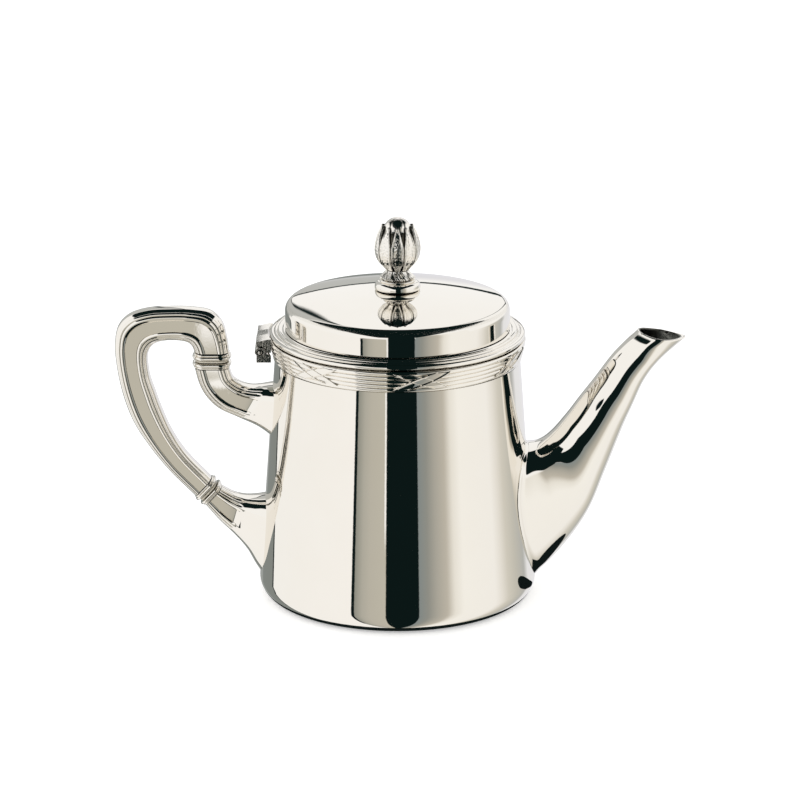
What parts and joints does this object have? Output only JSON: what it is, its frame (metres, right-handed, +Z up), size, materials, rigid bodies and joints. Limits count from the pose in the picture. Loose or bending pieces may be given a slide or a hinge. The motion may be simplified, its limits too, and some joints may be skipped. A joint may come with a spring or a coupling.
{
  "type": "coffee pot",
  "caption": "Tapered metal coffee pot with a swan-neck spout, reeded loop handle set between insulating discs, hinged stepped lid and flower-bud finial.",
  "frame": {"origin": "centre of the flat underside of the base", "axes": "+X towards the spout, +Y to the pot's left seen from the handle side, +Z up along the body's axis"},
  "size_m": [0.2289, 0.112, 0.1565],
  "materials": {
    "polished_silver": "polished silver plate, mirror bright and slightly warm",
    "chased_silver": "cast and chased silver plate, darkened in the recesses",
    "insulator": "pale heat-proof disc",
    "nickel_fixing": "turned fixing"
  },
  "bodies": {
    "pot": {"body_shell": "polished_silver", "base_plate": "polished_silver", "mouth_ring": "polished_silver", "reeded_band": "polished_silver", "spout": "polished_silver", "handle_upper_mount": "polished_silver", "upper_mount_ferrule": "polished_silver", "upper_insulator": "insulator", "upper_grip_ferrule": "polished_silver", "handle_grip": "polished_silver", "lower_grip_ferrule": "polished_silver", "lower_insulator": "insulator", "lower_mount_ferrule": "polished_silver", "handle_lower_mount": "polished_silver", "hinge_body_leaf": "polished_silver", "hinge_pin": "nickel_fixing"},
    "lid": {"hinge_lid_leaf": "polished_silver", "lid_cap": "polished_silver", "lid_rim": "polished_silver", "lid_bezel": "polished_silver", "finial_foot": "polished_silver", "finial_calyx": "chased_silver", "finial_bud": "chased_silver", "finial_stud": "nickel_fixing", "finial_washer": "nickel_fixing", "finial_nut": "nickel_fixing"}
  },
  "joints": [
    {"name": "lid_hinge", "type": "hinge", "parent": "pot", "child": "lid", "pos_m": [-0.0548, 0, 0.1038], "axis": [0, -1, 0], "range_deg": [0, 85]}
  ]
}
